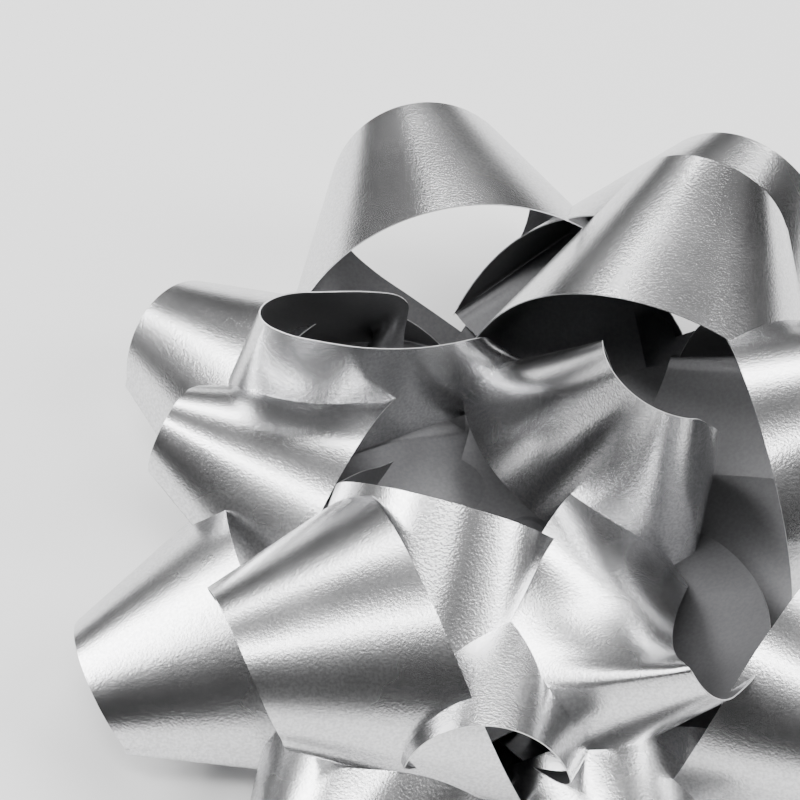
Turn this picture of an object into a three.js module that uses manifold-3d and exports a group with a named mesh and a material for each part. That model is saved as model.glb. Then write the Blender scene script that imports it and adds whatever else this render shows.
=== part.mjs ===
// Pre-made gift bow: nine strips of metallic film ribbon, each twisted into cone-shaped loops,
// stacked flat on a card disc and held by one plastic pin. Under the card are a foam adhesive
// pad and the release liner that peels off it. Millimetres, +Z up, +Y is the back of the bow.
import * as THREE from 'three';
import { mergeVertices } from 'three/addons/utils/BufferGeometryUtils.js';
import Module from 'manifold-3d';

// ---- driving dimensions ----
const RIBBON_WIDTH = 19;
const RIBBON_THICKNESS = 0.15;
const LAYER_PITCH = 0.26;        // one ribbon layer and its air gap, where strips lie on each other
const TAIL = 7;                  // a cut end runs this far past the pin
const LINER = { width: 30, thickness: 0.12, tab: 5, corner: 2 };
const PAD = { size: 26, thickness: 1.0, corner: 2 };
const CARD = { radius: 15, thickness: 0.6 };
const PIN = { radius: 0.8, head: 2.6, headHeight: 0.5, foot: 2.2, footHeight: 0.4 };
const HOLE_RADIUS = 1.15;
const NOTCH_CLEARANCE = 0.055;
const SLIVER = 0.005;             // edges shorter than this are closed up after a cut
const FACE_GAP = 0.05;           // between flat faces that rest on each other
const WRAP_LIMIT = 125;          // degrees round the cone on each side of the crown
const SLANT_LIMIT = 46;          // degrees the ribbon may slant across the cone's rulings
const WRAP_LEAST = 40;
const CLEAR_OF_LAYER = 1.5;
const CONE_STEPS = 20;
const LEG_STEPS = 9;

const rad = THREE.MathUtils.degToRad;
const vec = (x, y, z) => new THREE.Vector3(x, y, z);

// ---- heights of the flat stack ----
const padBase = LINER.thickness + FACE_GAP;
const cardBase = padBase + PAD.thickness + FACE_GAP;
const stackBase = cardBase + CARD.thickness + 0.1;

// ---- materials ----
const film = new THREE.MeshStandardMaterial({ color: 0xc9cacc, roughness: 0.28, metalness: 1 });
const cardStock = new THREE.MeshStandardMaterial({ color: 0xd8d6d0, roughness: 0.9, metalness: 0 });
const foam = new THREE.MeshStandardMaterial({ color: 0xf1efe8, roughness: 0.95, metalness: 0 });
const linerPaper = new THREE.MeshStandardMaterial({ color: 0xf7f3df, roughness: 0.5, metalness: 0 });
const pinPlastic = new THREE.MeshStandardMaterial({ color: 0x9b9da1, roughness: 0.4, metalness: 0 });

// ---- one loop of ribbon ----
// A loop is a straight ribbon wrapped round a cone. The cone's small end faces outwards.
// az, el, reach place the middle of the small rim; axisAz, axisEl aim the cone's axis;
// spread is its half angle and rim the small rim's radius; roll turns the crown of the loop
// round the axis, squash flattens it, and wrap is how far it goes round on each side.
const direction = (az, el) => vec(
  Math.cos(rad(el)) * Math.cos(rad(az)),
  Math.cos(rad(el)) * Math.sin(rad(az)),
  Math.sin(rad(el)));

function coneFrame(loop) {
  const axis = direction(loop.axisAz ?? loop.az, loop.axisEl ?? loop.el);
  const up = vec(0, 0, 1).addScaledVector(axis, -axis.z).normalize();
  const side = up.clone().cross(axis);
  const roll = rad(loop.roll ?? 0);
  const crown = up.multiplyScalar(Math.cos(roll)).addScaledVector(side, Math.sin(roll));
  return { axis, crown, flank: axis.clone().cross(crown) };
}

function coneSections(loop, level) {
  const { axis, crown, flank } = coneFrame(loop);
  const spread = rad(loop.spread);
  const squash = loop.squash ?? 1;
  const near = loop.rim / Math.sin(spread);
  const far = near + RIBBON_WIDTH;
  const apex = direction(loop.az, loop.el).multiplyScalar(loop.reach)
    .addScaledVector(axis, near * Math.cos(spread));
  const outward = (turn) => crown.clone().multiplyScalar(Math.cos(turn))
    .addScaledVector(flank, squash * Math.sin(turn));
  const along = (turn) => axis.clone().multiplyScalar(-Math.cos(spread))
    .addScaledVector(outward(turn), Math.sin(spread));
  const sectionAt = (turn) => {
    const slant = 1 / Math.cos(turn * Math.sin(spread));
    const ruling = along(turn);
    return {
      narrow: apex.clone().addScaledVector(ruling, near * slant),
      wide: apex.clone().addScaledVector(ruling, far * slant),
    };
  };
  // the ribbon leaves the cone before it would dip under its own layer of the stack
  const limit = Math.min(WRAP_LIMIT, SLANT_LIMIT / Math.sin(spread));
  const wrapEnd = (side, wanted) => {
    let turn = wanted ?? loop.wrap ?? limit;
    const clear = () => {
      const { narrow, wide } = sectionAt(side * rad(turn));
      return Math.min(narrow.z, wide.z) > level + CLEAR_OF_LAYER;
    };
    while (turn > WRAP_LEAST && !clear()) turn -= 1;
    return side * rad(turn);
  };
  const first = wrapEnd(-1, loop.wrapLeft);
  const last = wrapEnd(1, loop.wrapRight);
  const sections = [];
  for (let i = 0; i <= CONE_STEPS; i += 1) {
    sections.push(sectionAt(first + (last - first) * i / CONE_STEPS));
  }
  const travel = (turn) => {
    const slope = turn * Math.sin(spread);
    const round = crown.clone().multiplyScalar(-Math.sin(turn))
      .addScaledVector(flank, squash * Math.cos(turn)).normalize();
    return along(turn).normalize().multiplyScalar(Math.sin(slope))
      .addScaledVector(round, Math.cos(slope)).normalize();
  };
  return { sections, leave: { left: travel(first).negate(), right: travel(last) } };
}

// A leg carries the ribbon from the cone down to the flat stack. side is 1 for the right leg
// and -1 for the left one; it meets the stack at azimuth entry, height z, radius loop.flat.
function hubSection(entry, side, radius, z) {
  const u = direction(entry, 0);
  const v = vec(-u.y, u.x, 0);
  const middle = u.multiplyScalar(radius).add(vec(0, 0, z));
  return {
    narrow: middle.clone().addScaledVector(v, side * RIBBON_WIDTH / 2),
    wide: middle.clone().addScaledVector(v, -side * RIBBON_WIDTH / 2),
  };
}

function legSections(loop, start, leave, side, entry, z) {
  const landing = hubSection(entry, side, loop.flat, z);
  const inward = direction(entry, 0);
  const curve = (edge) => {
    const pull = (loop.pull ?? 0.38) * start[edge].distanceTo(landing[edge]);
    const drop = 0.9 * (start[edge].z - z) / Math.max(-leave.z, 0.001);
    return new THREE.CubicBezierCurve3(
      start[edge],
      start[edge].clone().addScaledVector(leave, Math.min(pull, drop)),
      landing[edge].clone().addScaledVector(inward, pull),
      landing[edge]);
  };
  const edges = { narrow: curve('narrow'), wide: curve('wide') };
  const sections = [];
  for (let i = 1; i <= LEG_STEPS; i += 1) {
    sections.push({
      narrow: edges.narrow.getPoint(i / LEG_STEPS),
      wide: edges.wide.getPoint(i / LEG_STEPS),
    });
  }
  return sections;
}

// Sections of a whole loop in order: left leg from the stack, cone, right leg to the stack.
function loopSections(loop, zLeft, zRight) {
  const cone = coneSections(loop, zRight);
  const leftEntry = loop.leftEntry ?? loop.az + loop.lean;
  const rightEntry = loop.rightEntry ?? loop.az - loop.lean;
  const left = legSections(loop, cone.sections[0], cone.leave.left, -1, leftEntry, zLeft);
  const right = legSections(loop, cone.sections.at(-1), cone.leave.right, 1, rightEntry, zRight);
  return [...left.reverse(), ...cone.sections, ...right];
}

// ---- a strip: one or two loops with its cut ends pinned in the stack ----
function stripSections(loops, z) {
  const first = loops[0];
  const last = loops.at(-1);
  const sections = [hubSection(first.leftEntry ?? first.az + first.lean, -1, -TAIL, z)];
  loops.forEach((loop, i) => {
    sections.push(...loopSections(loop, z + i * LAYER_PITCH, z + (i + 1) * LAYER_PITCH));
  });
  sections.push(hubSection(last.rightEntry ?? last.az - last.lean, 1, -TAIL,
    z + loops.length * LAYER_PITCH));
  return sections;
}

// Where legs cross on their way out of the stack, the leg from the higher layer lies on the
// lower one. Only heights change; the cones and the flat stack stay as they are.
const LOOP_LENGTH = 2 * LEG_STEPS + CONE_STEPS + 1;

function legRuns(strips) {
  const runs = [];
  strips.forEach((strip, s) => {
    for (let i = 0; i < strip.loopCount; i += 1) {
      const start = 1 + i * LOOP_LENGTH;
      const inner = [start - 1, start + LOOP_LENGTH];
      const layer = 3 * s + i;
      runs.push({ strip, layer, from: inner[0], to: start + LEG_STEPS, flat: [inner[0], start],
        level: strip.sections[start].narrow.z });
      runs.push({ strip, layer: layer + 1, from: start + LEG_STEPS + CONE_STEPS, to: inner[1],
        flat: [inner[1] - 1, inner[1]], level: strip.sections[inner[1] - 1].narrow.z });
    }
  });
  return runs;
}

function settleLegs(strips) {
  const rounds = 160;
  const reach = 0.7;
  const gap = 0.2;
  const crossingDepth = 2;
  const acrossSteps = 8;
  const alongSteps = 3;
  const runs = legRuns(strips);
  const samples = [];
  for (const run of runs) {
    for (let i = run.from; i < run.to; i += 1) {
      const held = (k) => k === run.from || k === run.to || run.flat.includes(k);
      const weights = [held(i) ? 0 : 1, held(i + 1) ? 0 : 1];
      const steps = held(i) && held(i + 1) ? 3 * alongSteps : alongSteps;
      for (let a = 0; a < steps; a += 1) {
        for (let b = 0; b <= acrossSteps; b += 1) {
          samples.push({ run, i, along: a / steps, across: b / acrossSteps, weights });
        }
      }
    }
  }
  const place = (sample) => {
    const { sections } = sample.run.strip;
    const [p, q] = [sections[sample.i], sections[sample.i + 1]];
    const a = p.narrow.clone().lerp(p.wide, sample.across);
    const b = q.narrow.clone().lerp(q.wide, sample.across);
    return a.lerp(b, sample.along);
  };
  const lift = (sample, dz) => {
    const { sections } = sample.run.strip;
    [1 - sample.along, sample.along].forEach((share, k) => {
      const section = sections[sample.i + k];
      const amount = dz * share * sample.weights[k];
      section.narrow.z += amount * (1 - sample.across);
      section.wide.z += amount * sample.across;
    });
  };
  const mobility = (sample) => (
    (1 - sample.along) * sample.weights[0] + sample.along * sample.weights[1]
  );
  for (const sample of samples) {
    sample.at = place(sample);
    sample.mobile = mobility(sample) > 0.01;
  }
  const cells = new Map();
  const key = (p, dx = 0, dy = 0) => (
    `${Math.floor(p.x / reach) + dx},${Math.floor(p.y / reach) + dy}`
  );
  for (const sample of samples) {
    const name = key(sample.at);
    if (!cells.has(name)) cells.set(name, []);
    cells.get(name).push(sample);
  }
  const pairs = [];
  for (const low of samples) {
    for (let dx = -1; dx <= 1; dx += 1) {
      for (let dy = -1; dy <= 1; dy += 1) {
        for (const high of cells.get(key(low.at, dx, dy)) ?? []) {
          const near = Math.hypot(high.at.x - low.at.x, high.at.y - low.at.y) < reach;
          const crossing = high.at.z - low.at.z > -crossingDepth;
          if (high.run.layer > low.run.layer && near && crossing && (high.mobile || low.mobile)) {
            pairs.push([low, high]);
          }
        }
      }
    }
  }
  for (let round = 0; round < rounds; round += 1) {
    for (const run of runs) {
      const { sections } = run.strip;
      for (let i = run.from + 1; i < run.to; i += 1) {
        if (run.flat.includes(i)) continue;
        for (const edge of ['narrow', 'wide']) {
          const level = (sections[i - 1][edge].z + sections[i + 1][edge].z) / 2;
          sections[i][edge].z += 0.12 * (level - sections[i][edge].z);
          sections[i][edge].z = Math.max(sections[i][edge].z,
            Math.min(run.level, sections[i][edge].z + 0.2));
        }
      }
    }
    for (const sample of samples) sample.at = place(sample);
    for (const [low, high] of pairs) {
      const short = gap - (place(high).z - place(low).z);
      if (short > 0) {
        const share = high.mobile && low.mobile ? 0.5 : 1;
        if (high.mobile) lift(high, short * share * 0.5);
        if (low.mobile && place(low).z > low.run.level + 0.02) lift(low, -short * share * 0.5);
      }
    }
  }
}

// A run of sections as a closed solid; grow thickens and widens it on every side.
function ribbonGeometry(sections, grow = 0) {
  const positions = [];
  const indices = [];
  const faces = sections.slice(1).map((next, i) => {
    const here = sections[i];
    const diagonal = next.wide.clone().sub(here.narrow);
    return here.wide.clone().sub(next.narrow).cross(diagonal).normalize();
  });
  sections.forEach((section, i) => {
    const across = section.wide.clone().sub(section.narrow).normalize();
    const offset = faces[Math.max(i - 1, 0)].clone().add(faces[Math.min(i, faces.length - 1)])
      .normalize().multiplyScalar(RIBBON_THICKNESS / 2 + grow);
    for (const [edge, out, sign] of [
      ['narrow', -grow, 1], ['wide', grow, 1], ['wide', grow, -1], ['narrow', -grow, -1]]) {
      positions.push(...section[edge].clone().addScaledVector(across, out)
        .addScaledVector(offset, sign).toArray());
    }
  });
  const quad = (a, b, c, d) => indices.push(a, b, c, a, c, d);
  for (let i = 0; i < sections.length - 1; i += 1) {
    const base = 4 * i;
    quad(base, base + 1, base + 5, base + 4);
    quad(base + 1, base + 2, base + 6, base + 5);
    quad(base + 3, base + 7, base + 6, base + 2);
    quad(base + 3, base, base + 4, base + 7);
  }
  const end = 4 * (sections.length - 1);
  quad(3, 2, 1, 0);
  quad(end, end + 1, end + 2, end + 3);
  const geometry = new THREE.BufferGeometry();
  geometry.setAttribute('position', new THREE.Float32BufferAttribute(positions, 3));
  geometry.setIndex(indices);
  return geometry;
}

// ---- boolean cut for the pin's hole ----
const wasm = await Module();
wasm.setup();

function toSolid(geometry) {
  const bare = geometry.clone();
  bare.deleteAttribute('normal');
  bare.deleteAttribute('uv');
  const merged = mergeVertices(bare, 1e-3);
  return new wasm.Manifold(new wasm.Mesh({
    numProp: 3,
    vertProperties: new Float32Array(merged.attributes.position.array),
    triVerts: new Uint32Array(merged.index.array),
  }));
}

function toGeometry(solid) {
  const mesh = solid.getMesh();
  const geometry = new THREE.BufferGeometry();
  geometry.setAttribute('position', new THREE.BufferAttribute(mesh.vertProperties, 3));
  geometry.setIndex(new THREE.BufferAttribute(mesh.triVerts, 1));
  geometry.computeVertexNormals();
  return geometry;
}

function upright(geometry, middleZ) {
  return geometry.rotateX(Math.PI / 2).translate(0, 0, middleZ);
}

function withPinHole(geometry, middleZ, height) {
  const drill = upright(new THREE.CylinderGeometry(HOLE_RADIUS, HOLE_RADIUS, height, 12), middleZ);
  return toGeometry(toSolid(geometry).subtract(toSolid(drill)));
}

// ---- the loops ----
const LOOPS = {
  // lowest ring, lying close to the parcel
  leftLow: { az: 202, el: 6, reach: 51, spread: 27, rim: 7, roll: 10, lean: 5, flat: 16 },
  rightLow: { az: 12, el: 6, reach: 52, spread: 24, rim: 7, lean: 5, flat: 16 },
  leftBack: { az: 145, el: 10, reach: 51, spread: 24, rim: 7, roll: 10, lean: 2, flat: 16 },
  rightFront: { az: 322, el: 15, reach: 54.5, spread: 24, rim: 7, roll: -10, lean: 1, flat: 16 },
  frontLeft: { az: 240, el: 4, reach: 50, spread: 22, rim: 6.5, lean: 1, flat: 16 },
  backRight: { az: 58, el: 20, reach: 54.5, spread: 27, rim: 9, lean: 1, flat: 16 },
  front: { az: 284, el: 2, reach: 48, spread: 20, rim: 6, leftEntry: 283, rightEntry: 287,
    flat: 16 },
  back: { az: 104, el: 20, reach: 55, spread: 28, rim: 8, roll: 10, lean: 3, flat: 16 },
  // middle ring
  backRightHigh: { az: 58, el: 38, axisAz: 68, axisEl: 40, reach: 50, spread: 28, rim: 6.5,
    lean: 8, flat: 12 },
  frontLeftHigh: { az: 218, el: 26, axisAz: 203, axisEl: 18, reach: 46, spread: 24, rim: 7.4,
    leftEntry: 230, rightEntry: 216, flat: 12 },
  rightHigh: { az: 8, el: 31, reach: 52, spread: 24, rim: 7.5, roll: -10, lean: 9, flat: 12 },
  leftHigh: { az: 170, el: 26, axisAz: 170, axisEl: 38, reach: 45, spread: 31, rim: 4, roll: 30,
    wrapLeft: 116, wrapRight: 95, lean: 9, flat: 12 },
  frontHigh: { az: 262, el: 23, axisAz: 266, axisEl: 28, reach: 41, spread: 17, rim: 7.5,
    leftEntry: 268, rightEntry: 256, flat: 12 },
  // crown
  crownRight: { az: 16, el: 65, axisAz: 315, axisEl: 73, reach: 35, spread: 26, rim: 5.4,
    roll: -111, leftEntry: 76, rightEntry: 20, flat: 9 },
  crownLeft: { az: 155, el: 52, axisAz: 230, axisEl: 72, reach: 42.5, spread: 26, rim: 4.5,
    roll: -138, squash: 0.5, wrapRight: 92, pull: 0.85, leftEntry: 150, rightEntry: 75,
    flat: 9 },
  crownFront: { az: 305, el: 40, axisAz: 318, axisEl: 36, reach: 43, spread: 26, rim: 6.2,
    roll: -118, squash: 0.75, wrapLeft: 40, leftEntry: 20, rightEntry: 330, flat: 9 },
  centre: { az: 202, el: 66, axisAz: 72, axisEl: 39, reach: 21, spread: 8, rim: 12,
    leftEntry: 140, rightEntry: 320, flat: 9 },
};

// Strips from the card upwards. The right leg of the first loop runs straight on through the
// stack as the left leg of the second.
const STRIPS = [
  { name: 'ribbon_strip_1', loops: ['leftLow', 'rightLow'] },
  { name: 'ribbon_strip_2', loops: ['front', 'back'] },
  { name: 'ribbon_strip_3', loops: ['leftBack', 'rightFront'] },
  { name: 'ribbon_strip_4', loops: ['frontLeft', 'backRight'] },
  { name: 'ribbon_strip_5', loops: ['backRightHigh', 'frontLeftHigh'] },
  { name: 'ribbon_strip_6', loops: ['rightHigh', 'leftHigh'] },
  { name: 'ribbon_strip_7', loops: ['frontHigh', 'crownRight'] },
  { name: 'ribbon_strip_8', loops: ['centre'] },
  { name: 'ribbon_strip_9', loops: ['crownFront', 'crownLeft'] },
];

const bow = new THREE.Group();

function add(name, geometry, material) {
  const mesh = new THREE.Mesh(geometry, material);
  mesh.name = name;
  bow.add(mesh);
}

let z = stackBase + RIBBON_THICKNESS / 2;
const strips = STRIPS.map(({ name, loops }) => {
  const sections = stripSections(loops.map((loop) => LOOPS[loop]), z);
  const span = loops.length * LAYER_PITCH;
  const middle = z + span / 2;
  z += span + LAYER_PITCH;
  return { name, sections, loopCount: loops.length, span, middle };
});
const stackTop = z - LAYER_PITCH / 2;
settleLegs(strips);

// A strip is joined from its runs, so that its own legs may touch where they cross.
function stripSolid(strip, grow = 0) {
  const cuts = [0];
  for (let i = 0; i < strip.loopCount; i += 1) {
    const start = 1 + i * LOOP_LENGTH;
    cuts.push(start + LEG_STEPS, start + LEG_STEPS + CONE_STEPS, start + LOOP_LENGTH);
  }
  const runs = cuts.slice(1).map((end, i) => toSolid(ribbonGeometry(
    strip.sections.slice(Math.max(cuts[i] - 1, 0), end + 1), grow)));
  return runs.reduce((whole, run) => whole.add(run));
}

function mainBody(solid) {
  const bodies = toSolid(toGeometry(solid.simplify(SLIVER))).decompose();
  return bodies.sort((a, b) => b.volume() - a.volume())[0];
}

// Where two strips would run through each other, the one that loses least is notched.
function notchCrossings() {
  for (const strip of strips) strip.solid = mainBody(stripSolid(strip));
  for (const strip of strips) strip.cutter = stripSolid(strip, NOTCH_CLEARANCE);
  for (let i = 0; i < strips.length; i += 1) {
    for (let j = i + 1; j < strips.length; j += 1) {
      const [a, b] = [strips[i], strips[j]];
      if (a.solid.intersect(b.cutter).isEmpty()) continue;
      const cutA = mainBody(a.solid.subtract(b.cutter));
      const cutB = mainBody(b.solid.subtract(a.cutter));
      const lossA = a.solid.volume() - cutA.volume();
      const lossB = b.solid.volume() - cutB.volume();
      if (lossA < lossB) a.solid = cutA;
      else b.solid = cutB;
    }
  }
}
notchCrossings();
for (const strip of strips) {
  const drill = toSolid(upright(
    new THREE.CylinderGeometry(HOLE_RADIUS, HOLE_RADIUS, strip.span + 0.5, 12), strip.middle));
  add(strip.name, toGeometry(mainBody(strip.solid.subtract(drill))), film);
}

// ---- base: card disc, foam pad, release liner ----
function roundedPlate(width, depth, corner, thickness, shiftX = 0) {
  const shape = new THREE.Shape();
  const x = width / 2;
  const y = depth / 2;
  shape.moveTo(shiftX - x + corner, -y);
  shape.lineTo(shiftX + x - corner, -y);
  shape.absarc(shiftX + x - corner, -y + corner, corner, -Math.PI / 2, 0, false);
  shape.absarc(shiftX + x - corner, y - corner, corner, 0, Math.PI / 2, false);
  shape.absarc(shiftX - x + corner, y - corner, corner, Math.PI / 2, Math.PI, false);
  shape.absarc(shiftX - x + corner, -y + corner, corner, Math.PI, 1.5 * Math.PI, false);
  return new THREE.ExtrudeGeometry(shape, {
    depth: thickness,
    bevelEnabled: false,
    curveSegments: 5,
  });
}

const cardMiddle = cardBase + CARD.thickness / 2;
const cardRound = new THREE.CylinderGeometry(CARD.radius, CARD.radius, CARD.thickness, 48);
const cardDisc = upright(cardRound, cardMiddle);
add('card_disc', withPinHole(cardDisc, cardMiddle, 2 * CARD.thickness), cardStock);

const padSolid = roundedPlate(PAD.size, PAD.size, PAD.corner, PAD.thickness);
const recess = PIN.foot + 0.3;
const recessDepth = PIN.footHeight + 0.15;
const recessRound = new THREE.CylinderGeometry(recess, recess, 2 * recessDepth, 24);
const recessTool = upright(recessRound, PAD.thickness);
const padGeometry = toGeometry(toSolid(padSolid).subtract(toSolid(recessTool)));
add('foam_adhesive_pad', padGeometry.translate(0, 0, padBase), foam);

const linerLength = LINER.width + LINER.tab;
const liner = roundedPlate(linerLength, LINER.width, LINER.corner, LINER.thickness, LINER.tab / 2);
add('release_liner', liner, linerPaper);

// ---- the pin: foot under the card, shank through the stack, head on top ----
const footTop = cardBase - FACE_GAP;
const headBase = stackTop + 0.05;
const profile = [
  [0, footTop - PIN.footHeight],
  [PIN.foot, footTop - PIN.footHeight],
  [PIN.foot, footTop],
  [PIN.radius, footTop],
  [PIN.radius, headBase],
  [PIN.head, headBase],
  [PIN.head, headBase + 0.2],
  [PIN.head * 0.7, headBase + PIN.headHeight],
  [0, headBase + PIN.headHeight],
].map(([r, h]) => new THREE.Vector2(r, h));
add('pin', new THREE.LatheGeometry(profile, 24).rotateX(Math.PI / 2), pinPlastic);

export default bow;
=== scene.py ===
"""A pre-made gift bow of silver ribbon film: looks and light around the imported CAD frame.

Each ribbon strip is rebuilt here as one smooth sheet of film from the same cones, legs and
flat stack as its CAD solid. Sizes are in millimetres until a mesh is made.
"""

import math

import bpy
import numpy as np
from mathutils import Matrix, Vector, kdtree


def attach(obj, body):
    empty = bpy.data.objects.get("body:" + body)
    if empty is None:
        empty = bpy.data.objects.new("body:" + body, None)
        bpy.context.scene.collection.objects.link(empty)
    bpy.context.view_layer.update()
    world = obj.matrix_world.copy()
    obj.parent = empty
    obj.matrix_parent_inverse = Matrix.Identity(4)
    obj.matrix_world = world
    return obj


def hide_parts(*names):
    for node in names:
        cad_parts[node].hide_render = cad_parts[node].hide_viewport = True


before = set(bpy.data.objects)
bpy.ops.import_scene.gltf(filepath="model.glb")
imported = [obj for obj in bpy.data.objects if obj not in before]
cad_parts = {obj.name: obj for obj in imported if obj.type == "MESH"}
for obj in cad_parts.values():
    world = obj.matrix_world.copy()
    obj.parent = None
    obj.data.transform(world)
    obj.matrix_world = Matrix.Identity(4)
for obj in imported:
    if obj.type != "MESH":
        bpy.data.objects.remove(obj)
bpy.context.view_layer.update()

MM = 0.001
RIBBON_WIDTH = 19.0
FILM_THICKNESS = 0.13
SOLID_THICKNESS = 0.15      # of the CAD strips, whose middle surface the film shares
LAYER_PITCH = 0.26          # one ribbon layer and its air gap in the flat stack
TAIL = 7.0                  # a cut end runs this far past the pin
STACK_BASE = 1.92           # underside of the lowest ribbon layer
WRAP_LIMIT = 125.0          # degrees round the cone on each side of the crown
SLANT_LIMIT = 46.0          # degrees the ribbon may slant across the cone's rulings
WRAP_LEAST = 40.0           # degrees of wrap that a loop keeps whatever it meets
CLEAR_OF_LAYER = 1.5        # a wrap stops this far above its own layer
LEG_PULL = 0.38             # how straight a leg leaves its cone and enters the stack
CONE_STEPS = 20
LEG_STEPS = 9
LOOP_LENGTH = 2 * LEG_STEPS + CONE_STEPS + 1
ACROSS = 10                 # faces across the ribbon
MESH_STEP = 1.1             # longest face along the ribbon

# az, el, reach: the middle of a loop's small rim; axis: where its cone points; spread: the
# cone's half angle; rim: the small rim's radius; flat: where its legs meet the flat stack.
LOOPS = {
    "left_low": dict(az=202, el=6, reach=51, spread=27, rim=7, roll=10, lean=5, flat=16),
    "right_low": dict(az=12, el=6, reach=52, spread=24, rim=7, lean=5, flat=16),
    "left_back": dict(az=145, el=10, reach=51, spread=24, rim=7, roll=10, lean=2, flat=16),
    "right_front": dict(az=322, el=15, reach=54.5, spread=24, rim=7, roll=-10, lean=1, flat=16),
    "front_left": dict(az=240, el=4, reach=50, spread=22, rim=6.5, lean=1, flat=16),
    "back_right": dict(az=58, el=20, reach=54.5, spread=27, rim=9, lean=1, flat=16),
    "front": dict(az=284, el=2, reach=48, spread=20, rim=6, entries=(283, 287), flat=16),
    "back": dict(az=104, el=20, reach=55, spread=28, rim=8, roll=10, lean=3, flat=16),
    "back_right_high": dict(az=58, el=38, axis=(68, 40), reach=50, spread=28, rim=6.5,
                            lean=8, flat=12),
    "front_left_high": dict(az=218, el=26, axis=(203, 18), reach=46, spread=24, rim=7.4,
                            entries=(230, 216), flat=12),
    "right_high": dict(az=8, el=31, reach=52, spread=24, rim=7.5, roll=-10, lean=9, flat=12),
    "left_high": dict(az=170, el=26, axis=(170, 38), reach=45, spread=31, rim=4, roll=30,
                      wrap_left=116, wrap_right=95, lean=9, flat=12),
    "front_high": dict(az=262, el=23, axis=(266, 28), reach=41, spread=17, rim=7.5,
                       entries=(268, 256), flat=12),
    "crown_right": dict(az=16, el=65, axis=(315, 73), reach=35, spread=26, rim=5.4, roll=-111,
                        entries=(76, 20), flat=9),
    "crown_left": dict(az=155, el=52, axis=(230, 72), reach=42.5, spread=26, rim=4.5,
                       roll=-138, squash=0.5, wrap_right=92, pull=0.85, entries=(150, 75),
                       flat=9),
    "crown_front": dict(az=305, el=40, axis=(318, 36), reach=43, spread=26, rim=6.2, roll=-118,
                        squash=0.75, wrap_left=40, entries=(20, 330), flat=9),
    "centre": dict(az=202, el=66, axis=(72, 39), reach=21, spread=8, rim=12,
                   entries=(140, 320), flat=9),
}
STRIPS = [
    ("ribbon_strip_1", ["left_low", "right_low"]),
    ("ribbon_strip_2", ["front", "back"]),
    ("ribbon_strip_3", ["left_back", "right_front"]),
    ("ribbon_strip_4", ["front_left", "back_right"]),
    ("ribbon_strip_5", ["back_right_high", "front_left_high"]),
    ("ribbon_strip_6", ["right_high", "left_high"]),
    ("ribbon_strip_7", ["front_high", "crown_right"]),
    ("ribbon_strip_8", ["centre"]),
    ("ribbon_strip_9", ["crown_front", "crown_left"]),
]


def unit(v):
    return v / np.linalg.norm(v)


def direction(az, el=0.0):
    a, e = math.radians(az), math.radians(el)
    return np.array([math.cos(e) * math.cos(a), math.cos(e) * math.sin(a), math.sin(e)])


def entries(loop):
    """Azimuths at which the left and right legs meet the flat stack."""
    if "entries" in loop:
        return loop["entries"]
    return loop["az"] + loop["lean"], loop["az"] - loop["lean"]


# ---- one loop: a straight ribbon wrapped round a cone, and its two legs ----
def cone(loop, level):
    """Narrow and wide edge of the ribbon round its cone, and the way each end leaves it."""
    axis = direction(*loop.get("axis", (loop["az"], loop["el"])))
    up = unit(np.array([0, 0, 1.0]) - axis[2] * axis)
    roll = math.radians(loop.get("roll", 0))
    crown = math.cos(roll) * up + math.sin(roll) * np.cross(up, axis)
    flank = np.cross(axis, crown)
    spread = math.radians(loop["spread"])
    squash = loop.get("squash", 1.0)
    near = loop["rim"] / math.sin(spread)
    far = near + RIBBON_WIDTH
    apex = direction(loop["az"], loop["el"]) * loop["reach"] + axis * near * math.cos(spread)

    def along(turn):
        outward = math.cos(turn) * crown + squash * math.sin(turn) * flank
        return -math.cos(spread) * axis + math.sin(spread) * outward

    def section(turn):
        slant = 1 / math.cos(turn * math.sin(spread))
        return np.array([apex + along(turn) * near * slant, apex + along(turn) * far * slant])

    limit = min(WRAP_LIMIT, SLANT_LIMIT / math.sin(spread))

    def wrap_end(side, wanted):
        turn = wanted or limit
        while turn > WRAP_LEAST:
            if section(side * math.radians(turn))[:, 2].min() > level + CLEAR_OF_LAYER:
                break
            turn -= 1
        return side * math.radians(turn)

    first = wrap_end(-1, loop.get("wrap_left"))
    last = wrap_end(1, loop.get("wrap_right"))

    def travel(turn):
        slope = turn * math.sin(spread)
        around = unit(-math.sin(turn) * crown + squash * math.cos(turn) * flank)
        return unit(unit(along(turn)) * math.sin(slope) + around * math.cos(slope))

    turns = np.linspace(first, last, CONE_STEPS + 1)
    return np.array([section(t) for t in turns]), -travel(first), travel(last)


def landing(entry, side, radius, z):
    """Narrow and wide edge where a leg meets the flat stack at azimuth entry."""
    u = direction(entry)
    v = np.array([-u[1], u[0], 0])
    middle = u * radius + np.array([0, 0, z])
    return np.array([middle + v * side * RIBBON_WIDTH / 2, middle - v * side * RIBBON_WIDTH / 2])


def leg(loop, start, leave, side, entry, z):
    """Edges of the twisted ribbon from the end of its wrap down to the flat stack."""
    end = landing(entry, side, loop["flat"], z)
    inward = direction(entry)
    out = []
    for edge in (0, 1):
        pull = loop.get("pull", LEG_PULL) * np.linalg.norm(start[edge] - end[edge])
        drop = 0.9 * (start[edge][2] - z) / max(-leave[2], 0.001)
        p = (start[edge], start[edge] + leave * min(pull, drop),
             end[edge] + inward * pull, end[edge])
        t = np.linspace(0, 1, LEG_STEPS + 1)[1:, None]
        out.append((1 - t) ** 3 * p[0] + 3 * (1 - t) ** 2 * t * p[1]
                   + 3 * (1 - t) * t * t * p[2] + t ** 3 * p[3])
    return np.stack(out, 1)


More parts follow.
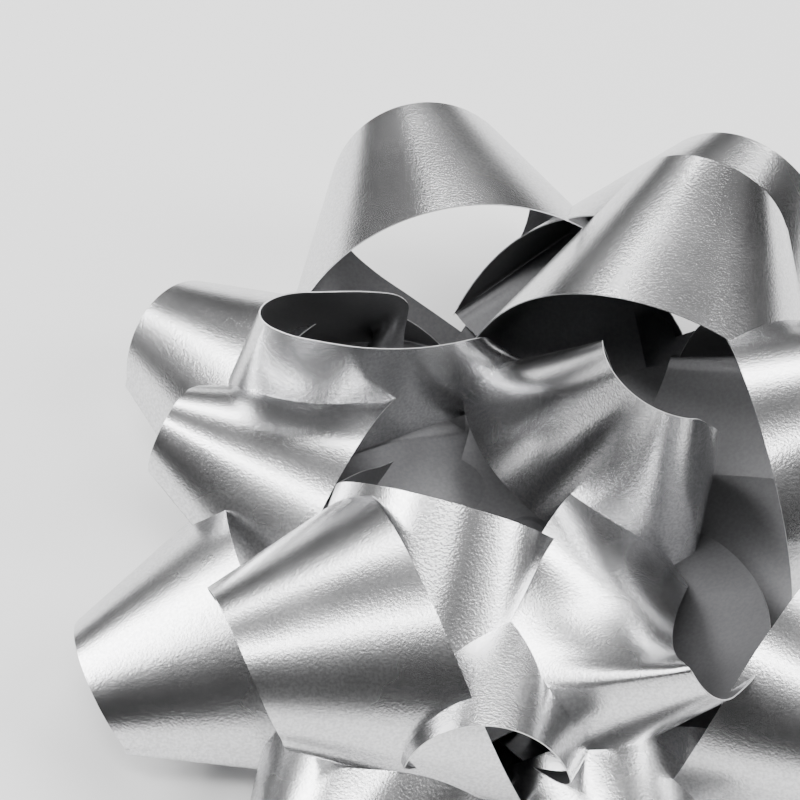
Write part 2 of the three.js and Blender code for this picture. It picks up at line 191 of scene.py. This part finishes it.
def strip_sections(loops, z):
    """All sections of one strip, from cut end to cut end, with its lowest layer at z."""
    first, last = loops[0], loops[-1]
    parts = [landing(entries(first)[0], -1, -TAIL, z)[None]]
    for i, loop in enumerate(loops):
        z_left, z_right = z + i * LAYER_PITCH, z + (i + 1) * LAYER_PITCH
        body, leave_left, leave_right = cone(loop, z_right)
        left, right = entries(loop)
        parts.append(leg(loop, body[0], leave_left, -1, left, z_left)[::-1])
        parts.append(body)
        parts.append(leg(loop, body[-1], leave_right, 1, right, z_right))
    parts.append(landing(entries(last)[1], 1, -TAIL, z + len(loops) * LAYER_PITCH)[None])
    return np.concatenate(parts)


# ---- crossing legs rest on each other ----
def settle(strips):
    """Lifts and lowers crossing legs until they rest on each other. Only heights change."""
    rounds = 400
    reach = 0.7                 # samples closer than this in plan meet
    gap = 0.2                   # and end up at least this far apart in height
    depth = 2.0                 # unless the upper one starts out further below than this
    stiffness = 0.12            # how strongly a leg evens out its height
    points = np.concatenate(strips)
    starts = np.cumsum([0] + [len(s) for s in strips[:-1]])
    free = np.zeros(len(points), bool)
    floor = np.zeros(len(points))
    rows, shares, layers, levels = [], [], [], []
    for s, strip in enumerate(strips):
        for i in range((len(strip) - 2) // LOOP_LENGTH):
            a = starts[s] + 1 + i * LOOP_LENGTH
            b = a + LOOP_LENGTH
            right = a + LEG_STEPS + CONE_STEPS
            runs = [(a - 1, a + LEG_STEPS, (a - 1, a), points[a, 0, 2], 3 * s + i),
                    (right, b, (b - 1, b), points[b - 1, 0, 2], 3 * s + i + 1)]
            for low, high, flat, level, layer in runs:
                held = {low, high, *flat}
                for k in range(low + 1, high):
                    if k not in held:
                        free[k] = True
                        floor[k] = level
                for k in range(low, high):
                    steps = 9 if k in held and k + 1 in held else 3
                    for along in range(steps):
                        for across in range(9):
                            rows.append(k)
                            shares.append((along / steps, across / 8))
                            layers.append(layer)
                            levels.append(level)
    rows, layers, levels = np.array(rows), np.array(layers), np.array(levels)
    a, b = np.array(shares).T
    weights = np.stack([(1 - a) * (1 - b), (1 - a) * b, a * (1 - b), a * b], 1)
    cells = np.stack([2 * rows, 2 * rows + 1, 2 * rows + 2, 2 * rows + 3], 1)
    flat_points = points.reshape(-1, 3)
    at = (weights[:, :, None] * flat_points[cells]).sum(1)
    moves = weights * np.stack([free[rows], free[rows], free[rows + 1], free[rows + 1]], 1)
    mobile = moves.sum(1) > 0.01
    tree = kdtree.KDTree(len(at))
    for i, p in enumerate(at):
        tree.insert((p[0], p[1], 0), i)
    tree.balance()
    low, high = [], []
    for i, p in enumerate(at):
        for _, j, _ in tree.find_range((p[0], p[1], 0), reach):
            if layers[j] > layers[i] and at[j][2] - p[2] > -depth and (mobile[i] or mobile[j]):
                low.append(i)
                high.append(j)
    low, high = np.array(low), np.array(high)
    share = np.where(mobile[low] & mobile[high], 0.5, 1.0) * 0.9
    z = flat_points[:, 2].copy()
    inner = np.flatnonzero(free)
    ends = np.stack([2 * inner, 2 * inner + 1], 1)
    for _ in range(rounds):
        z[ends] += stiffness * ((z[ends - 2] + z[ends + 2]) / 2 - z[ends])
        z[ends] = np.maximum(z[ends], np.minimum(floor[inner][:, None], z[ends] + 0.2))
        height = (weights * z[cells]).sum(1)
        short = gap - (height[high] - height[low])
        on = short > 0
        down = on & (height[low] > levels[low] + 0.02)
        total, count = np.zeros(len(z)), np.full(len(z), 1e-6)
        for who, sign, mask in ((high, 1.0, on), (low, -1.0, down)):
            w = moves[who[mask]]
            c = cells[who[mask]]
            np.add.at(total, c, sign * w * (short * share)[mask][:, None])
            np.add.at(count, c, w)
        z += total / np.maximum(count, 0.3)
    flat_points[:, 2] = z
    settled = flat_points.reshape(-1, 2, 3)
    return [settled[s:s + len(strip)] for s, strip in zip(starts, strips)]


def refine(sections):
    """A smooth curve through the sections, cut at most MESH_STEP apart."""
    step = np.linalg.norm(np.diff(sections, axis=0), axis=2).max(1)
    t = np.concatenate([[0], np.cumsum(np.maximum(step, 0.05))])
    slope = np.empty_like(sections)
    d = np.diff(sections, axis=0) / np.diff(t)[:, None, None]
    h = np.diff(t)
    slope[0], slope[-1] = d[0], d[-1]
    slope[1:-1] = ((d[:-1] * h[1:, None, None] + d[1:] * h[:-1, None, None])
                   / (h[:-1] + h[1:])[:, None, None])
    out = []
    for i in range(len(sections) - 1):
        n = max(2, math.ceil(h[i] / MESH_STEP))
        u = (np.arange(n) / n)[:, None, None]
        out.append((2 * u ** 3 - 3 * u ** 2 + 1) * sections[i]
                   + (u ** 3 - 2 * u ** 2 + u) * h[i] * slope[i]
                   + (3 * u ** 2 - 2 * u ** 3) * sections[i + 1]
                   + (u ** 3 - u ** 2) * h[i] * slope[i + 1])
    out.append(sections[-1:])
    return np.concatenate(out)


def film_mesh(name, sections):
    """One closed strip of film: bright face, dull back face with painted shade, and the cut edges
    between them with painted highlight.
    """
    share = np.linspace(0, 1, ACROSS + 1)[None, :, None]
    grid = sections[:, None, 0] * (1 - share) + sections[:, None, 1] * share
    along = np.gradient(grid, axis=0)
    across = np.gradient(grid, axis=1)
    normal = np.cross(across, along)
    length = np.linalg.norm(normal, axis=2, keepdims=True)
    normal = normal / np.maximum(length, 1e-9)
    for _ in range(2):
        normal[1:-1] = normal[:-2] + 2 * normal[1:-1] + normal[2:]
        normal /= np.maximum(np.linalg.norm(normal, axis=2, keepdims=True), 1e-9)
    rows, cols = grid.shape[:2]
    half = normal * FILM_THICKNESS / 2
    verts = np.concatenate([(grid + half).reshape(-1, 3), (grid - half).reshape(-1, 3)]) * MM
    top = np.arange(rows * cols).reshape(rows, cols)
    low = top + rows * cols
    faces, slots = [], []

    def band(a, b, c, d, slot):
        quads = np.stack([a.ravel(), b.ravel(), c.ravel(), d.ravel()], 1)
        faces.extend(quads.tolist())
        slots.extend([slot] * len(quads))

    band(top[:-1, :-1], top[:-1, 1:], top[1:, 1:], top[1:, :-1], 0)
    band(low[:-1, :-1], low[1:, :-1], low[1:, 1:], low[:-1, 1:], 1)
    band(top[:-1, 0], top[1:, 0], low[1:, 0], low[:-1, 0], 2)
    band(top[:-1, -1], low[:-1, -1], low[1:, -1], top[1:, -1], 2)
    band(top[0, :-1], low[0, :-1], low[0, 1:], top[0, 1:], 2)
    band(top[-1, :-1], top[-1, 1:], low[-1, 1:], low[-1, :-1], 2)
    mesh = bpy.data.meshes.new(name)
    mesh.from_pydata(verts.tolist(), [], faces)
    mesh.polygons.foreach_set("material_index", slots)
    mesh.polygons.foreach_set("use_smooth", [s < 2 for s in slots])
    mesh.update()
    sides = np.repeat(slots, 4)  # every face is a quad
    edges = np.empty(len(mesh.loops), int)
    mesh.loops.foreach_get("edge_index", edges)
    sharp = np.zeros(len(mesh.edges), bool)
    sharp[edges[sides == 2]] = True
    mesh.attributes.new("sharp_edge", "BOOLEAN", "EDGE").data.foreach_set("value", sharp)
    return mesh


# ---- materials ----
def shader(name, **values):
    """A new material whose shader sockets have these values, with what is needed to add nodes."""
    material = bpy.data.materials.new(name)
    material.use_nodes = True
    nodes = material.node_tree.nodes
    surface = nodes["Principled BSDF"]
    for key, value in values.items():
        surface.inputs[key.replace("_", " ")].default_value = value
    return material, nodes, material.node_tree.links, surface


def noise(nodes, links, scale, detail=2.0, rough=0.5):
    """Noise whose cells are about 1 / scale metres across."""
    place = nodes.new("ShaderNodeTexCoord")
    made = nodes.new("ShaderNodeTexNoise")
    made.inputs["Scale"].default_value = scale
    made.inputs["Detail"].default_value = detail
    made.inputs["Roughness"].default_value = rough
    links.new(place.outputs["Object"], made.inputs["Vector"])
    return made.outputs["Fac"]


def bump(nodes, links, height, strength, distance, under=None):
    """Bump from a height of up to distance metres, laid over the bump under it."""
    made = nodes.new("ShaderNodeBump")
    made.inputs["Strength"].default_value = strength
    made.inputs["Distance"].default_value = distance
    links.new(height, made.inputs["Height"])
    if under is not None:
        links.new(under, made.inputs["Normal"])
    return made.outputs["Normal"]


def shaded(nodes, links, surface, fac, low, high, spread=(0.35, 0.65)):
    """Colour runs from low to high with fac."""
    ramp = nodes.new("ShaderNodeValToRGB")
    for stop, at, colour in zip(ramp.color_ramp.elements, spread, (low, high)):
        stop.position = at
        stop.color = (*colour, 1)
    links.new(fac, ramp.inputs["Fac"])
    links.new(ramp.outputs["Color"], surface.inputs["Base Color"])


def roughened(nodes, links, surface, fac, low, high):
    """Roughness runs from low to high with fac."""
    span = nodes.new("ShaderNodeMapRange")
    span.inputs["From Min"].default_value = 0.3
    span.inputs["From Max"].default_value = 0.7
    span.inputs["To Min"].default_value = low
    span.inputs["To Max"].default_value = high
    links.new(fac, span.inputs["Value"])
    links.new(span.outputs["Result"], surface.inputs["Roughness"])


def grained(nodes, links, surface, scale, detail, strength, distance):
    """Fine relief all over the surface."""
    relief = bump(nodes, links, noise(nodes, links, scale, detail), strength, distance)
    links.new(relief, surface.inputs["Normal"])


def film_outside():
    material, nodes, links, surface = shader("film_bright", Metallic=1.0)
    speckle = noise(nodes, links, 3200, 1)
    shaded(nodes, links, surface, speckle, (0.61, 0.61, 0.62), (0.78, 0.78, 0.79))
    roughened(nodes, links, surface, noise(nodes, links, 60, 3), 0.22, 0.3)
    wave = bump(nodes, links, noise(nodes, links, 45, 1), 0.3, 0.001)
    grain = bump(nodes, links, noise(nodes, links, 3800, 1, 0.5), 0.24, 0.00007, wave)
    links.new(grain, surface.inputs["Normal"])
    return material


def film_back_painted_shade():
    material, nodes, links, surface = shader("film_dull_painted_shade", Metallic=0.5)
    speckle = noise(nodes, links, 2600, 2)
    # Painted shade: the back face is coloured very dark grey to stand in for the shade inside the
    # loops.
    shaded(nodes, links, surface, speckle, (0.125, 0.125, 0.13), (0.145, 0.145, 0.15))
    roughened(nodes, links, surface, noise(nodes, links, 60, 3), 0.4, 0.46)
    grained(nodes, links, surface, 4200, 1, 0.12, 0.00006)
    return material


def film_edge_painted_highlight():
    material, nodes, links, surface = shader("film_cut_edge_painted_highlight", Metallic=0.6, Roughness=0.4)
    speckle = noise(nodes, links, 900)
    # Painted highlight: the cut edge is coloured lighter than the bright face to stand in for the
    # light caught along the ribbon's edges.
    shaded(nodes, links, surface, speckle, (0.72, 0.72, 0.73), (0.86, 0.86, 0.87))
    grained(nodes, links, surface, 4000, 2, 0.2, 0.0001)
    return material


def card():
    material, nodes, links, surface = shader("grey_card", Roughness=0.88)
    fibres = noise(nodes, links, 420, 5, 0.65)
    shaded(nodes, links, surface, fibres, (0.33, 0.325, 0.31), (0.45, 0.44, 0.42))
    grained(nodes, links, surface, 1500, 4, 0.35, 0.0001)
    return material


def foam():
    material, nodes, links, surface = shader("white_foam", Roughness=0.95)
    place = nodes.new("ShaderNodeTexCoord")
    voronoi = nodes.new("ShaderNodeTexVoronoi")
    voronoi.inputs["Scale"].default_value = 2400
    links.new(place.outputs["Object"], voronoi.inputs["Vector"])
    cells = voronoi.outputs["Distance"]
    shaded(nodes, links, surface, cells, (0.9, 0.89, 0.87), (0.7, 0.69, 0.67), (0.1, 0.8))
    links.new(bump(nodes, links, cells, 0.5, 0.0002), surface.inputs["Normal"])
    return material


def release_paper():
    material, nodes, links, surface = shader("release_paper", Coat_Weight=0.25)
    fibres = noise(nodes, links, 500, 4, 0.6)
    shaded(nodes, links, surface, fibres, (0.86, 0.84, 0.75), (0.93, 0.91, 0.83))
    roughened(nodes, links, surface, noise(nodes, links, 260, 3), 0.4, 0.55)
    grained(nodes, links, surface, 2200, 3, 0.12, 0.0001)
    return material


def pin_plastic():
    material, nodes, links, surface = shader("grey_moulded_plastic", Roughness=0.45)
    flow = noise(nodes, links, 700, 3)
    shaded(nodes, links, surface, flow, (0.06, 0.06, 0.063), (0.085, 0.085, 0.09))
    grained(nodes, links, surface, 2800, 2, 0.15, 0.0001)
    return material


bright, dull_painted_shade, edge = film_outside(), film_back_painted_shade(), film_edge_painted_highlight()
for node, made in (("card_disc", card()), ("foam_adhesive_pad", foam()),
                   ("release_liner", release_paper()), ("pin", pin_plastic())):
    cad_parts[node].material_slots[0].material = made

# ---- the strips, from the card upwards ----
level = STACK_BASE + SOLID_THICKNESS / 2
raw = []
for _, names in STRIPS:
    raw.append(strip_sections([LOOPS[n] for n in names], level))
    level += (len(names) + 1) * LAYER_PITCH
for (node, _), sections in zip(STRIPS, settle(raw)):
    smooth = refine(sections)
    piece_name = node.replace("ribbon_strip", "film_strip")
    strip = bpy.data.objects.new(piece_name, film_mesh(node, smooth))
    for material in (bright, dull_painted_shade, edge):
        strip.data.materials.append(material)
    bpy.context.scene.collection.objects.link(strip)
    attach(strip, "bow")
    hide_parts(node)

# ---- camera ----
CAMERA_ELEVATION = math.radians(50)
camera_back = Vector((0, -math.cos(CAMERA_ELEVATION), math.sin(CAMERA_ELEVATION)))
lens = bpy.data.cameras.new("camera")
lens.lens = 148.4
lens.sensor_width = 36
camera = bpy.data.objects.new("camera", lens)
camera.location = Vector((-0.0136, -0.2147, 0.2872))
camera.rotation_mode = "QUATERNION"
camera.rotation_quaternion = (-camera_back).to_track_quat("-Z", "Y")
bpy.context.scene.collection.objects.link(camera)
bpy.context.scene.camera = camera

# ---- floor and light ----
FLOOR_HALF = 6.0        # metres
FLOOR_DROP = 0.0002     # keeps the floor just clear of the liner
corners = [(x * FLOOR_HALF, y * FLOOR_HALF, 0) for x, y in ((-1, -1), (1, -1), (1, 1), (-1, 1))]
floor_mesh = bpy.data.meshes.new("floor")
floor_mesh.from_pydata(corners, [], [(0, 1, 2, 3)])
floor = bpy.data.objects.new("floor", floor_mesh)
floor.location.z = -FLOOR_DROP
paint, _, _, _ = shader("floor_paint", Base_Color=(0.84, 0.84, 0.84, 1), Roughness=0.9)
floor_mesh.materials.append(paint)
bpy.context.scene.collection.objects.link(floor)

world = bpy.data.worlds.new("studio")
bpy.context.scene.world = world
world.use_nodes = True
world.node_tree.nodes["Background"].inputs["Color"].default_value = (1, 1, 1, 1)
world.node_tree.nodes["Background"].inputs["Strength"].default_value = 0.03


def softbox(name, azimuth, elevation, distance, width, height, power):
    """An area lamp that faces the bow. azimuth is 0 at the front and 90 on the right."""
    a, e = math.radians(azimuth), math.radians(elevation)
    back = Vector((math.sin(a) * math.cos(e), -math.cos(a) * math.cos(e), math.sin(e)))
    light = bpy.data.lights.new(name, "AREA")
    light.shape = "RECTANGLE"
    light.size, light.size_y = width, height
    light.energy = power
    lamp = bpy.data.objects.new(name, light)
    lamp.location = back * distance
    lamp.rotation_mode = "QUATERNION"
    lamp.rotation_quaternion = back.to_track_quat("Z", "Y")
    lamp.visible_camera = False
    bpy.context.scene.collection.objects.link(lamp)


softbox("left_box", -100, 48, 1.2, 1.1, 0.5, 22)
softbox("back_box", 170, 50, 1.4, 1.1, 0.4, 17)
softbox("right_box", 75, 38, 1.2, 0.35, 0.9, 11)
softbox("front_box", -25, 74, 1.4, 0.9, 0.22, 11)
